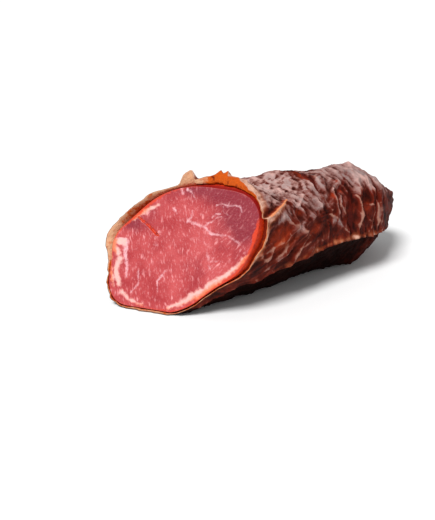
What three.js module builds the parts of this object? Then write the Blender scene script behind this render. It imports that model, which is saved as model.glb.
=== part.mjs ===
// A cut piece of cured pork loin lying on its side: the lean meat with its slanting cut face,
// and the dried casing round it, torn and lifted at the cut and puckered shut at the far end.
// Millimetres, +Z up, +X from the cut towards the closed end, +Y away from the viewer.
// The origin is on the flat spot that the loin rests on, halfway along it.
import * as THREE from "three";
import { mergeVertices } from "three/addons/utils/BufferGeometryUtils.js";

const radians = THREE.MathUtils.degToRad;

// ---------------------------------------------------------------- driving dimensions
const CUT_X = -58; // where the cut crosses the loin's axis
const END_X = 98; // tip of the closed end
const LENGTH = END_X - CUT_X;
const AXIS_Z = 34; // height of the axis over the resting face, at the cut
const CUT_BIAS = Math.tan(radians(35)); // the cut slants along the loin, seen from above
const CUT_LEAN = Math.tan(radians(25)); // and leans back, seen from the side
const END_SCALE = 0.84; // the section at the tip, against the section at the cut
const CAP_DEPTH = 46; // length of the rounded end
const CAP_POWER = 1.35; // above 1, the end is more pointed than an ellipse
const CAP_LIFT = 1.5; // the tip sits this much above the axis
const CASING_THICKNESS = 1.2; // casing with the dried crust on it
const GAP = 0.35; // between casing and meat
const MM_PER_DEGREE = 0.58; // along the skin, for a turn of one degree round the axis

// The loin's outline where it is cut, [away from the viewer, up], one point every 20 degrees.
const SECTION = [
  [32.5, 34], [31.5, 43.5], [26.5, 52.5], [17, 61], [4.5, 67], [-9, 69],
  [-21, 66], [-29.5, 58], [-33, 47], [-33, 35], [-30.5, 24.5], [-22.5, 15],
  [-14, 4.5], [-4.5, -0.3], [9, -0.3], [20, 2], [26.5, 10], [29.5, 22],
];

// Broad swellings and dips of the meat. turn is the angle round the axis in degrees: 0 is the
// far side, 90 the top, 180 the near side and 270 the underside. along is measured from the cut.
const LUMPS = [
  { turn: 98, along: 28, wide: 40, long: 15, height: -5.0 },
  { turn: 98, along: 39, wide: 40, long: 11, height: -2.8 },
  { turn: 95, along: 52, wide: 50, long: 14, height: 0.8 },
  { turn: 95, along: 81, wide: 45, long: 14, height: -5.2 },
  { turn: 95, along: 100, wide: 60, long: 12, height: -0.6 },
  { turn: 95, along: 132, wide: 70, long: 17, height: -8 },
  { turn: 70, along: 60, wide: 13, long: 10, height: -2.8 },
  { turn: 72, along: 101, wide: 14, long: 12, height: -2.2 },
  { turn: 112, along: 146, wide: 20, long: 12, height: -7 },
  { turn: 235, along: 118, wide: 25, long: 20, height: 4 },
  { turn: 238, along: 48, wide: 24, long: 26, height: 1.4 },
];

// Creases that stand out of the casing, or sink into it, as lines from one place to another.
const FOLDS = [
  // the long fold along the lower edge of the near side
  {
    path: [[224, 4], [211, 25], [202, 37], [195, 59], [191, 70], [191, 90], [194, 118], [202, 136]],
    wide: 3.2,
    height: 2.3,
  },
  // the hollow under it
  { path: [[214, 40], [213, 60], [206, 78], [204, 116]], wide: 4.5, height: -0.7 },
  // the deep groove that crosses the top
  { path: [[84, 84], [113, 61], [128, 55], [139, 60]], wide: 2.8, height: -0.8 },
  { path: [[92, 92], [120, 67], [134, 62]], wide: 2.8, height: 1.1 },
  // hoops where the casing has bunched up towards the end
  { path: [[112, 105], [133, 90], [154, 85], [188, 88]], wide: 2.6, height: -0.8 },
  { path: [[128, 98], [149, 92], [187, 94]], wide: 2.4, height: 1.3 },
  { path: [[140, 108], [168, 104], [190, 106]], wide: 2.6, height: 0.9 },
  { path: [[128, 118], [154, 115], [170, 114], [188, 117]], wide: 2.4, height: 1.3 },
  // slanting streaks between the cut and the long fold
  { path: [[166, 30], [183, 14]], wide: 2.2, height: 0.9 },
  { path: [[168, 40], [192, 24]], wide: 2.2, height: 1.0 },
  { path: [[176, 54], [197, 38]], wide: 2.4, height: 0.9 },
  // raised ridges of the middle
  { path: [[134, 37], [156, 46]], wide: 2.6, height: 1.0 },
  { path: [[134, 48], [155, 56]], wide: 2.6, height: 1.1 },
  { path: [[158, 28], [174, 44]], wide: 2.4, height: 0.8 },
  { path: [[142, 66], [172, 72]], wide: 2.6, height: 0.9 },
  { path: [[70, 62], [96, 74]], wide: 3.0, height: 1.0 },
  { path: [[58, 96], [84, 108], [112, 112]], wide: 3.0, height: 0.5 },
  // the far side and the back, finished like the side that shows
  { path: [[20, 22], [34, 50], [30, 84]], wide: 3.2, height: 1.4 },
  { path: [[350, 30], [356, 66], [346, 104]], wide: 3.4, height: 1.7 },
  { path: [[8, 96], [40, 92], [62, 98]], wide: 2.8, height: 1.2 },
  { path: [[352, 116], [20, 112], [48, 118]], wide: 2.6, height: 1.2 },
  { path: [[36, 34], [60, 48]], wide: 2.6, height: 1.0 },
  { path: [[10, 60], [40, 72]], wide: 2.6, height: 1.0 },
];

// The tear in the casing on the near side: a line that climbs away from the cut. Below it the
// casing has lifted and laps over what is above it.
const TEAR = { from: [152, -2], to: [134, 29], lift: 2.4, reach: 9, edge: 1.0 };

// How the casing's cut edge lies round the face: set back from the cut, and lifted off the meat.
const RIM = [
  { turn: 2, wide: 16, back: -0.8, lift: 1.5 },
  { turn: 54, wide: 6, back: -1.0, lift: 1.0 },
  { turn: 76, wide: 3.6, back: -0.5, lift: 5.2 },
  { turn: 96, wide: 14, back: 0, lift: 3.4 },
  { turn: 97, wide: 3.4, back: 0, lift: 1.4 },
  { turn: 113, wide: 11, back: -0.3, lift: 1.2 },
  { turn: 130, wide: 8, back: -0.2, lift: 0.6 },
  { turn: 170, wide: 14, back: 2.8, lift: 1.4 },
  { turn: 196, wide: 12, back: 3.2, lift: 0.6 },
];
const RIM_BACK = 0.3; // everywhere else
const RIM_LIFT = 0.35;
const RIM_FADE = 9; // distance from the edge over which the lift dies away
const RIM_REACH = 10; // and within which the setback is taken up
const RIM_THICKNESS = 0.7;

// Where the meat has drawn back from the casing at the cut.
const DRAWN_BACK = [
  { turn: 32, wide: 24, long: 12, depth: 3.2 },
  { turn: 101, wide: 20, long: 4, depth: 2.3 },
];

// Puckers round the closed end, where the casing was drawn together.
const PUCKERS = 13;
const PUCKER_HEIGHT = 1.1;

// Facets
const SEGMENTS = 84; // round the loin
const FACE_RINGS = 9; // on the cut face
const INNER_ROWS = 15; // meat side and casing inside
const OUTER_ROWS = 36; // casing outside

// ---------------------------------------------------------------- the loin's form
// Catmull-Rom through a closed list of points, at place i + f.
function outlineAt(turn) {
  const u = ((turn / 20) % SECTION.length) + SECTION.length;
  const i = Math.floor(u);
  const f = u - i;
  const at = (k) => SECTION[(i + k + SECTION.length) % SECTION.length];
  const [p0, p1, p2, p3] = [at(-1), at(0), at(1), at(2)];
  return [0, 1].map((c) => 0.5 * (2 * p1[c] + (p2[c] - p0[c]) * f
    + (2 * p0[c] - 5 * p1[c] + 4 * p2[c] - p3[c]) * f * f
    + (3 * p1[c] - p0[c] - 3 * p2[c] + p3[c]) * f ** 3));
}

const turnBetween = (a, b) => ((((a - b + 180) % 360) + 360) % 360) - 180;
const bell = (distance, width) => Math.exp(-((distance / width) ** 2));

function lumps(turn, along) {
  let height = 0;
  for (const l of LUMPS) {
    height += l.height * bell(turnBetween(turn, l.turn), l.wide) * bell(along - l.along, l.long);
  }
  return height;
}

// Where a share q of the way from the cut to the tip is: distance along the axis, and the angle
// of the rounded end there, which is 0 on the body and 90 degrees at the tip.
function stationAt(q) {
  const body = LENGTH - CAP_DEPTH;
  const arc = CAP_DEPTH * 1.25;
  const distance = q * (body + arc);
  if (distance <= body) return { along: distance, angle: 0 };
  const angle = Math.min((distance - body) / arc, 1) * Math.PI / 2;
  return { along: body + CAP_DEPTH * Math.sin(angle), angle };
}

// A point of the loin's skin, pushed out by height along the surface's rough normal. A negative
// height is inside the skin. floor is the lowest that the point may lie.
function skin(turn, { along, angle }, height, floor) {
  const [oy, oz] = outlineAt(turn);
  const reach = Math.hypot(oy, oz - AXIS_Z);
  const [cy, cz] = [oy / reach, (oz - AXIS_Z) / reach];
  const share = along / LENGTH;
  const scale = 1 + (END_SCALE - 1) * share;
  const closing = Math.cos(angle) ** CAP_POWER;
  const radius = (reach * scale + lumps(turn, along)) * closing + height * Math.cos(angle);
  const y = radius * cy;
  const z = Math.max(AXIS_Z * scale + CAP_LIFT * (1 - closing) + radius * cz, floor);
  const cut = -CUT_BIAS * y + CUT_LEAN * (z - AXIS_Z);
  return [CUT_X + along + height * Math.sin(angle) + (1 - share) * cut, y, z];
}

// ---------------------------------------------------------------- relief of the casing
// Distance in mm along the skin from a place to a segment, and how far along the segment.
function toSegment(turn, along, a, b) {
  const [px, py] = [turnBetween(turn, a[0]) * MM_PER_DEGREE, along - a[1]];
  const [dx, dy] = [turnBetween(b[0], a[0]) * MM_PER_DEGREE, b[1] - a[1]];
  const t = THREE.MathUtils.clamp((px * dx + py * dy) / (dx * dx + dy * dy), 0, 1);
  const side = px * dy - py * dx > 0 ? 1 : -1;
  return { distance: Math.hypot(px - t * dx, py - t * dy), side, share: t };
}

function foldRelief(turn, along) {
  let height = 0;
  for (const fold of FOLDS) {
    let nearest = Infinity;
    for (let i = 0; i + 1 < fold.path.length; i++) {
      nearest = Math.min(nearest, toSegment(turn, along, fold.path[i], fold.path[i + 1]).distance);
    }
    height += fold.height * bell(nearest, fold.wide);
  }
  return height;
}

// The lifted lap below the tear: steep at the tear's line, and fading away from it.
function tearRelief(turn, along) {
  const { distance, side, share } = toSegment(turn, along, TEAR.from, TEAR.to);
  const fade = 1 - 0.6 * share;
  const lap = side > 0 ? Math.exp(-distance / TEAR.reach) : bell(distance, TEAR.edge);
  return TEAR.lift * fade * lap;
}

// Small irregular waves, from sines that don't repeat together.
function wrinkles(turn, along) {
  const a = radians(turn);
  return 0.30 * Math.sin(7 * a + 0.21 * along + 1.3) * Math.sin(0.31 * along - 3 * a)
    + 0.25 * Math.sin(11 * a - 0.33 * along + 0.4)
    + 0.18 * Math.sin(17 * a + 0.47 * along + 2.1);
}

function puckerRelief(turn, angle) {
  const gather = Math.sin(angle) ** 6 * Math.min(4 * Math.cos(angle), 1);
  const a = radians(turn);
  return PUCKER_HEIGHT * gather * (Math.sin(PUCKERS * a) + 0.4 * Math.sin(5 * a));
}

function casingRelief(turn, { along, angle }) {
  const body = Math.cos(angle) ** 0.5;
  const sum = (foldRelief(turn, along) + wrinkles(turn, along)) * body
    + tearRelief(turn, along) + puckerRelief(turn, angle);
  return Math.max(sum, -0.5);
}

// ---------------------------------------------------------------- the casing's cut edge
function rimAt(turn) {
  let [back, lift] = [RIM_BACK, RIM_LIFT];
  for (const r of RIM) {
    const share = bell(turnBetween(turn, r.turn), r.wide);
    back += r.back * share;
    lift += r.lift * share;
  }
  const a = radians(turn);
  const ragged = 0.25 * Math.sin(23 * a + 1) + 0.2 * Math.sin(37 * a + 2);
  return { back: back + ragged, lift: lift * (1 + 0.3 * ragged) };
}

// The edge's setback and lift, carried a little way along the casing.
function atRim(turn, station) {
  const { back, lift } = rimAt(turn);
  const near = Math.max(1 - station.along / RIM_REACH, 0);
  const fade = Math.exp(-station.along / RIM_FADE) * Math.max(1 - station.along / 30, 0);
  return { along: station.along + back * near ** 2, angle: station.angle, lift: lift * fade };
}

// ---------------------------------------------------------------- solids
// A sphere's rows and columns, laid over a form that place(row, turn) gives. Row 0 and the last
// row are single points.
function laidOver(rows, place) {
  const sphere = new THREE.SphereGeometry(1, SEGMENTS, rows);
  const position = sphere.getAttribute("position");
  for (let row = 0; row <= rows; row++) {
    for (let column = 0; column <= SEGMENTS; column++) {
      const turn = (360 * ((SEGMENTS - column) % SEGMENTS)) / SEGMENTS;
      position.setXYZ(row * (SEGMENTS + 1) + column, ...place(row, turn));
    }
  }
  sphere.deleteAttribute("normal");
  sphere.deleteAttribute("uv");
  const closed = mergeVertices(sphere, 1e-3);
  closed.computeVertexNormals();
  return closed;
}

// The cut face swells and dips a little, as soft meat does under the knife.
function faceRelief(turn, ring) {
  const a = radians(turn);
  const waves = 0.5 + 0.6 * ring * Math.sin(2 * a + 0.6) + 0.4 * ring * Math.sin(5 * a);
  return waves * (1 - ring * ring);
}

function meatDepth(turn, along) {
  let depth = CASING_THICKNESS + GAP;
  for (const d of DRAWN_BACK) {
    depth += d.depth * bell(turnBetween(turn, d.turn), d.wide) * bell(along, d.long);
  }
  return depth;
}

function meat() {
  const floor = CASING_THICKNESS + GAP + 0.3;
  const side = (turn, station) => skin(turn, station, -meatDepth(turn, station.along), floor);
  const middle = [CUT_X, 0, AXIS_Z];
  const normal = new THREE.Vector3(-1, -CUT_BIAS, CUT_LEAN).normalize().toArray();
  return laidOver(FACE_RINGS + INNER_ROWS, (row, turn) => {
    if (row > FACE_RINGS) {
      return side(turn, stationAt((row - FACE_RINGS) / INNER_ROWS));
    }
    const ring = row / FACE_RINGS;
    const rim = side(turn, stationAt(0));
    const out = faceRelief(turn, ring);
    return middle.map((m, c) => m + ring * (rim[c] - m) + out * normal[c]);
  });
}

function casing() {
  const rows = INNER_ROWS + 1 + OUTER_ROWS;
  return laidOver(rows, (row, turn) => {
    if (row <= INNER_ROWS) {
      const station = atRim(turn, stationAt(1 - row / INNER_ROWS));
      return skin(turn, station, station.lift - CASING_THICKNESS, CASING_THICKNESS);
    }
    const share = (row - INNER_ROWS - 1) / OUTER_ROWS;
    const station = atRim(turn, stationAt(share));
    const thinned = (CASING_THICKNESS - RIM_THICKNESS) * bell(station.along, 3);
    const relief = casingRelief(turn, station) * (1 - bell(station.along, 2));
    return skin(turn, station, station.lift + relief - thinned, 0);
  });
}

function finish(colour, roughness) {
  return new THREE.MeshStandardMaterial({ color: colour, roughness, metalness: 0 });
}

function node(name, geometry, material) {
  const mesh = new THREE.Mesh(geometry, material);
  mesh.name = name;
  return mesh;
}

const loin = new THREE.Group();
loin.add(node("meat", meat(), finish(0xc8505a, 0.45)));
loin.add(node("casing", casing(), finish(0x74493f, 0.6)));

export default loin;
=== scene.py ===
"""Looks of a cut piece of cured pork loin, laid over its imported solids.

Lengths are in millimetres until a mesh is made, and then in metres. A place on the loin is a
turn round its axis in degrees (0 far side, 90 top, 180 near side, 270 underside) and a distance
along it from the cut.
"""

import functools
import math

import bpy
import numpy as np
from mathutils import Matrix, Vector


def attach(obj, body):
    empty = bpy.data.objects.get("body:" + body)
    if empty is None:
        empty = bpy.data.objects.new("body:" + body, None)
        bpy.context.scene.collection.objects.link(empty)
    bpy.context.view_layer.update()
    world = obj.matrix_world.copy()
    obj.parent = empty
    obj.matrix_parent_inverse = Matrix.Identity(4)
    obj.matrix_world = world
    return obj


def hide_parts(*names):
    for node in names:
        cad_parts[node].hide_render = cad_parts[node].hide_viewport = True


MM = 0.001

# ---- the loin's form, as in its solids
CUT_X = -58.0  # where the axis meets the cut
END_X = 98.0
LENGTH = END_X - CUT_X
AXIS_Z = 34.0
CUT_BIAS = math.tan(math.radians(35))  # the cut lies further back on the near side
CUT_LEAN = math.tan(math.radians(25))  # and at the top
END_SCALE = 0.84  # the section at the closed end against that at the cut
CAP_DEPTH = 46.0  # the length of the rounded end
CAP_POWER = 1.35
CAP_LIFT = 1.5
BODY = LENGTH - CAP_DEPTH
CAP_RUN = CAP_DEPTH * 1.25  # measured along its skin
RUN = BODY + CAP_RUN
CASING_THICKNESS = 1.2
GAP = 0.35
MM_PER_DEGREE = 0.58  # round the skin
MEAT_INSET = CASING_THICKNESS + GAP
# the edge of the meat is rounded off under the collar's peak
BEVEL = 2.3
BEVEL_TURN = 101
BEVEL_WIDE = 20

# y and z of the section at the cut, one point every 20 degrees from the far side
SECTION = np.array([
    (32.5, 34), (31.5, 43.5), (26.5, 52.5), (17, 61), (4.5, 67), (-9, 69),
    (-21, 66), (-29.5, 58), (-33, 47), (-33, 35), (-30.5, 24.5), (-22.5, 15),
    (-14, 4.5), (-4.5, -0.3), (9, -0.3), (20, 2), (26.5, 10), (29.5, 22),
])
SECTION_STEP = 360 / len(SECTION)

# Humps and dips of the whole body, as (turn, along, wide, long, height): wide in degrees.
LUMPS = [
    (98, 28, 40, 15, -5.0), (98, 39, 40, 11, -2.8), (95, 52, 50, 14, 0.8), (95, 81, 45, 14, -5.2),
    (95, 100, 60, 12, -0.6), (95, 132, 70, 17, -8.0), (235, 118, 25, 20, 4.0), (238, 48, 24, 26, 1.4),
    (70, 60, 13, 10, -2.8), (72, 101, 14, 12, -2.2), (112, 146, 20, 12, -7.0),
]

# The folds that the solids have, as (path of (turn, along), half width, height).
FOLD_POWER = 2
FOLDS = [
    ([(214, 40), (213, 60), (206, 78), (204, 116)], 4.5, -0.7),
    ([(84, 84), (113, 61), (128, 55), (139, 60)], 2.8, -0.8),
    ([(92, 92), (120, 67), (134, 62)], 2.8, 1.1),
    ([(112, 105), (133, 90), (154, 85), (188, 88)], 2.6, -0.8),
    ([(128, 98), (149, 92), (187, 94)], 2.4, 1.3),
    ([(140, 108), (168, 104), (190, 106)], 2.6, 0.9),
    ([(128, 118), (154, 115), (170, 114), (188, 117)], 2.4, 1.3),
    ([(166, 30), (183, 14)], 2.2, 0.9),
    ([(168, 40), (192, 24)], 2.2, 1.0),
    ([(176, 54), (197, 38)], 2.4, 0.9),
    ([(134, 37), (156, 46)], 2.6, 1.0),
    ([(134, 48), (155, 56)], 2.6, 1.1),
    ([(158, 28), (174, 44)], 2.4, 0.8),
    ([(142, 66), (172, 72)], 2.6, 0.9),
    ([(70, 62), (96, 74)], 3.0, 1.0),
    ([(58, 96), (84, 108), (112, 112)], 3.0, 0.5),
    ([(20, 22), (34, 50), (30, 84)], 3.2, 1.4),
    ([(350, 30), (356, 66), (346, 104)], 3.4, 1.7),
    ([(8, 96), (40, 92), (62, 98)], 2.8, 1.2),
    ([(352, 116), (20, 112), (48, 118)], 2.6, 1.2),
    ([(36, 34), (60, 48)], 2.6, 1.0),
    ([(10, 60), (40, 72)], 2.6, 1.0),
]

# Finer creases, in the same way, where the photographed side has them.
CREASE_POWER = 1.4
CREASES = [
    # the red groove across the top, and its banks
    ([(92, 70), (112, 56), (117, 59), (125, 57), (132, 55), (137, 58)], 1.5, -1.3),
    ([(108, 57), (118, 54), (126, 53), (134, 53.5), (140, 60)], 1.3, 0.8),
    ([(100, 70), (115, 64), (126, 61), (134, 60)], 1.4, 0.8),
    # brushed ridges of the middle
    ([(133, 43), (140, 37), (149, 32)], 0.9, 0.9),
    ([(141, 37), (149, 40.5), (157, 46)], 1.1, 0.6),
    ([(137, 42), (147, 46), (155, 50.5)], 1.1, 0.6),
    ([(135, 47), (142, 50), (150, 53)], 1.1, 0.6),
    ([(147, 14), (153, 19.6), (159, 26.6), (167, 36.6), (171, 43)], 1.3, 0.7),
    ([(139, 54), (147, 59), (155, 64)], 1.1, 0.7),
    ([(132, 71), (145, 67.3), (160, 70.5)], 1.0, 1.0),
    ([(142, 76), (151, 74), (161, 78.5)], 0.9, 0.9),
    ([(158, 62), (164, 69), (172, 75), (182, 84)], 0.8, 0.7),
    # hoops towards the closed end
    ([(144, 84), (162, 86), (175, 87.4), (188, 90.5)], 1.6, -1.3),
    ([(144, 90), (164, 93), (176, 92.6), (191, 94)], 0.7, 1.0),
    ([(156, 97), (159, 105), (168, 108), (178, 107.7), (188, 103)], 0.6, 0.8),
    ([(125, 106), (143, 107), (160, 110), (179, 112.6), (193, 112)], 0.7, 0.9),
    ([(128, 112), (147, 117), (165, 118.5), (185, 120), (198, 118)], 0.7, 0.9),
    ([(95, 110), (104, 107), (120, 102.5), (133, 103.7), (143, 106.8)], 1.6, 0.9),
    ([(114, 101), (130, 96), (145, 92)], 1.4, 0.8),
    ([(110, 100), (127, 86.4), (135, 77.6), (143, 71)], 1.2, -1.0),
    # slanting streaks near the cut
    ([(190, 22), (180, 28), (176, 33)], 1.2, 0.8),
    ([(180, 11), (175, 18), (173, 27)], 1.2, 0.8),
    ([(196, 38), (186, 41), (181, 48)], 1.5, 0.9),
    ([(179, 2.6), (183, 7), (187, 12), (187, 17)], 1.4, 0.9),
]

# The near side folds over along this line, and the skin drops away sharply under it.
LEDGE = [
    (224, 4), (211, 25), (202, 37), (198, 48), (195, 59), (191, 70), (191, 90), (194, 118), (202, 136),
]
LEDGE_HEIGHT = 2.6
LEDGE_ABOVE = 5.0
LEDGE_BELOW = 1.8

# A tear slants back from the cut. Its lower side lifts, and fades out over the reach.
TEAR_FROM = (152, -2)
TEAR_TO = (134, 29)
TEAR_LIFT = 2.4
TEAR_REACH = 9.0
TEAR_EDGE = 0.7

# The casing's edge at the cut, as (turn, wide, set back, lift off the meat).
RIM = [
    (2, 16, -0.8, 1.5), (54, 6, -1.0, 1.0), (96, 14, 0, 3.4), (94.5, 1.3, 0, 1.9),
    (99, 1.2, 0, 2.0), (106, 5, 0, 0.6), (113, 11, -0.3, 1.2), (130, 8, -0.2, 0.6),
    (170, 14, 2.8, 1.4), (196, 12, 3.2, 0.6),
]
# the small tab that stands up from the edge
TAB_TURN = 76.5
TAB_WIDE = 3.5
TAB_LIFT = 5.4
TAB_FADE = 3.2
# how far the whole edge is set back and lifted, and over what length that fades
RIM_BACK = 0.3
RIM_LIFT = 0.35
RIM_REACH = 10.0
RIM_FADE = 9.0
INNER_FADE = 1.8  # of the lift, on the inside
INNER_INSET = 1.4  # depth of the inside, further in
# the edge is thinned from both sides: the inner one rises, and the outer one sinks
RIM_THICKNESS = 0.45
RIM_RISES = 0.25
RIM_SINKS = CASING_THICKNESS - RIM_THICKNESS - RIM_RISES
RIM_THIN_REACH = 3.0

PUCKERS = 13
PUCKER_HEIGHT = 1.3
DEEPEST_CREASE = -0.75
NO_FLOOR = -math.inf

# ---- zones of the casing's colour
# Each patch is (turn, along, wide, long, amount), like the lumps.
# more or less of the grey bloom
BLOOM = [
    (145, 46, 14, 10, 0.5), (163, 34, 7, 10, 0.5), (115, 28, 25, 20, 0.5), (103, 102, 24, 15, 0.6),
    (136, 14, 8, 10, 0.2), (133, 112, 10, 8, 0.45), (160, 99, 14, 8, -0.9), (152, 86, 14, 4, -0.5),
    (168, 17, 9, 9, -0.7), (170, 54, 7, 8, -0.35), (110, 56, 14, 4, -0.6), (97, 36, 5, 4, -0.5),
    (141, 67, 5, 3, -0.3), (123, 84, 6, 3, -0.1), (150, 34, 5, 4, -0.4), (168, 70, 8, 10, 0.25),
    (160, 76, 8, 6, 0.2), (176, 34, 8, 12, 0.15), (132, 43, 7, 6, -0.35), (141, 27, 7, 8, -0.35),
    (139, 78, 6, 6, 0.25), (149, 62, 5, 4, 0.25), (170, 100, 9, 11, -0.35), (174, 27, 6, 7, -0.3),
    (130, 124, 10, 8, 0.35), (146, 134, 14, 9, 0.35),
]
# thin skin, that the red of the meat shows through
CLEAR = [
    (141, 67, 4, 2.5, 1.0), (123, 83, 5, 2.5, 0.9), (135, 79, 4, 2.5, 0.8), (112, 56, 12, 3, 0.8),
    (97, 36, 5, 3, 0.6), (150, 34, 4, 5, 0.6), (148, 61, 7, 4, 0.35), (170, 54, 6, 7, 0.6),
    (166, 18, 8, 10, 0.6), (178, 24, 6, 20, 0.35), (160, 100, 10, 7, 0.55), (155, 84, 10, 4, 0.5),
    (186, 75, 8, 12, 0.4), (178, 22, 14, 16, 0.35),
]
# painted highlights: the palest places on the crest of the long fold
FOLD_CREST_HIGHLIGHTS = [(193, 80, 4, 4, 0.6), (190, 92, 3, 5, 0.5), (195, 112, 3, 5, 0.5), (192, 100, 3, 2, 0.4)]

# turns, and how far back from the edge the pale lip reaches at each
LIP = (94, 102, 110, 124, 131, 139, 150, 160), (0, 6, 9, 8, 6, 3, -1, -4)

# ---- marks on the cut face
# Each is (path of (y, z), half width at its start, half width at its end).
VEINS = [
    ([(28.8, 33.6), (24.6, 33.6)], 1.7, 2.3),
    ([(24.3, 33), (23.1, 28.4), (20.3, 22), (18.5, 16)], 1.7, 0.5),
    ([(0, 48), (-3, 47), (-8, 46), (-12, 43), (-20, 43), (-26, 40)], 0.8, 0.6),
    ([(-26, 40), (-27, 42), (-28.5, 44.5)], 0.4, 0.1),
    ([(-8, 46), (-9, 48), (-11, 49), (-12, 51), (-14, 52)], 0.5, 0.2),
    ([(-10, 51), (-11, 53), (-13, 53)], 0.3, 0.3),
    ([(0, 47), (-1, 50), (-0.5, 53)], 0.7, 0.4),
    ([(-10, 57), (-12, 58), (-15, 57.5), (-18, 58), (-20, 58)], 0.3, 0.5),
    ([(-15, 57), (-15, 59.5)], 0.4, 0.2),
    ([(-20, 58), (-22, 55)], 0.4, 0.2),
    ([(-13, 57), (-14, 54), (-17, 53)], 0.3, 0.2),
    ([(5, 63), (3, 62), (0, 59)], 0.8, 0.3),
    ([(8, 63.5), (6.5, 61)], 1.3, 0.8),
    ([(8, 53), (6, 51)], 0.8, 0.5),
    ([(-13, 35), (-15, 31), (-16, 28), (-17, 26)], 0.5, 0.6),
    ([(-15.5, 29), (-17, 30), (-20, 30)], 0.5, 0.3),
    ([(12, 36), (11, 33)], 0.5, 0.3),
    ([(11, 40.5), (11, 37), (10, 34)], 0.9, 0.4),
    ([(2, 22), (4, 16), (2, 11)], 0.6, 0.3),
    ([(14, 20), (12, 14), (14, 9)], 0.5, 0.4),
]
FAT = [
    ([(30, 33.4), (25, 33.4)], 1.4, 1.6),
    ([(30.2, 35.7), (29.1, 41.6)], 0.9, 0.3),
    ([(29.4, 30.6), (26.4, 27.4)], 1.4, 1.6),
    ([(24.6, 25), (24.5, 18.7), (21, 12)], 1.6, 1.3),
    ([(31.5, 34), (28.6, 22.5), (23, 11)], 0.5, 0.6),
    ([(24.9, 46.6), (20, 50.5), (15.5, 54)], 1.7, 0.7),
    ([(-33, 41), (-31, 34), (-28, 28.5), (-24.5, 23.5), (-20.5, 18), (-15, 12)], 0.2, 2.3),
    ([(-15, 12), (-11, 8), (-5, 4)], 2.0, 0.6),
    ([(7, 3.5), (14, 5), (19, 9)], 0.3, 1.0),
]
# turns, and how much paprika has stained the edge of the cut at each
SPICE = (
    (0, 12, 25, 60, 76, 88, 146, 155, 162, 170, 180, 192, 205, 220, 290, 340, 360),
    (0.5, 0.6, 0.9, 0.8, 0.4, 0.2, 0.2, 1.0, 1.6, 1.1, 0.6, 0.9, 0.9, 0.7, 0.45, 0.4, 0.5),
)
# Where the lean is darker, as (right of the middle, above it, wide, high, amount) on the face.
PURPLE = [
    (33, 22, 12, 15, 1.2), (-28, 10, 8, 5, 0.9), (12, 33, 24, 6, 0.8), (-20, 20, 9, 6, 0.5),
    (8, -9, 16, 8, 0.3),
]
# a crack across the cut face: y and z along it, the half widths at its ends, and its depth
CRACK = [(22.5, 46.5), (18, 44), (15, 42), (11, 39)]
CRACK_START = 0.3
CRACK_END = 0.6
CRACK_DEEP = 1.1

# ---- small tools


def bell(distance, width):
    """1 at no distance, fading to nearly 0 at twice the width."""
    return np.exp(-((distance / width) ** 2))


def turn_between(a, b):
    """Degrees from turn b to turn a, the short way round."""
    return (a - b + 180) % 360 - 180


def ease(low, high, value):
    """Smoothly from 0 at low to 1 at high, which may be the lesser of the two."""
    share = np.clip((value - low) / (high - low), 0, 1)
    return share * share * (3 - 2 * share)


HASH_FACTORS = (73856093, 19349663, 83492791)
HASH_SHIFTS = [np.uint64(bits) for bits in (15, 13, 16)]
HASH_MIX, HASH_END = np.uint64(2246822519), np.uint64(3266489917)
BITS_32, BITS_24 = np.uint64(0xFFFFFFFF), np.uint64(0xFFFFFF)


def lattice(cell, seed):
    """A random number from 0 to 1 for each whole-numbered cell."""
    h = np.full(cell.shape[:-1], seed, np.uint64)
    for axis, factor in enumerate(HASH_FACTORS):
        h ^= (cell[..., axis].astype(np.int64) * factor).astype(np.uint64)
        h = (h ^ (h >> HASH_SHIFTS[0])) * HASH_MIX & BITS_32
    h ^= h >> HASH_SHIFTS[1]
    h = h * HASH_END & BITS_32
    return ((h ^ (h >> HASH_SHIFTS[2])) & BITS_24).astype(float) / float(BITS_24)


def smooth_noise(p, seed):
    """Value noise from -1 to 1, with a feature about every unit of p."""
    base = np.floor(p)
    f = p - base
    f = f * f * f * (f * (f * 6 - 15) + 10)
    total = 0.0
    for corner in np.ndindex(2, 2, 2):
        weight = np.prod(np.where(np.array(corner) == 1, f, 1 - f), axis=-1)
        total = total + weight * lattice(base + np.array(corner), seed)
    return 2 * total - 1


def warped(p, amount, seed):
    """Points moved about smoothly, so that patterns drawn on them wander."""
    shift = [smooth_noise(p * 0.6 + 17 * k, seed + k) for k in range(3)]
    return p + amount * np.stack(shift, -1)


def ridged(p, seed):
    """Sharp wandering ridges, from 0 between them to 1 on them."""
    return np.exp(-np.abs(smooth_noise(p, seed)) / 0.2)


def cell_edges(p, seed):
    """How near each point is to the border between two random cells: 1 on it, 0 well inside."""
    base = np.floor(p)
    first = second = np.full(p.shape[:-1], np.inf)
    for step in np.ndindex(3, 3, 3):
        cell = base + np.array(step) - 1
        seeds = [lattice(cell, seed + k) for k in range(3)]
        away = np.linalg.norm(cell + np.stack(seeds, -1) - p, axis=-1)
        second = np.minimum(second, np.maximum(first, away))
        first = np.minimum(first, away)
    return np.exp(-6 * (second - first))


# ---- form


def outline(turn):
    """The section's y and z at each turn: a closed Catmull-Rom curve."""
    u = np.mod(turn / SECTION_STEP, len(SECTION))
    i = np.floor(u).astype(int)
    f = (u - i)[..., None]
    p0, p1, p2, p3 = (SECTION[(i + k) % len(SECTION)] for k in (-1, 0, 1, 2))
    return 0.5 * (2 * p1 + (p2 - p0) * f + (2 * p0 - 5 * p1 + 4 * p2 - p3) * f**2
                  + (3 * p1 - p0 - 3 * p2 + p3) * f**3)


def patches(turn, along, places):
    """What soft patches at (turn, along, wide, long, amount) add up to."""
    return sum(amount * bell(turn_between(turn, t), wide) * bell(along - s, long)
               for t, s, wide, long, amount in places)


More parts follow.
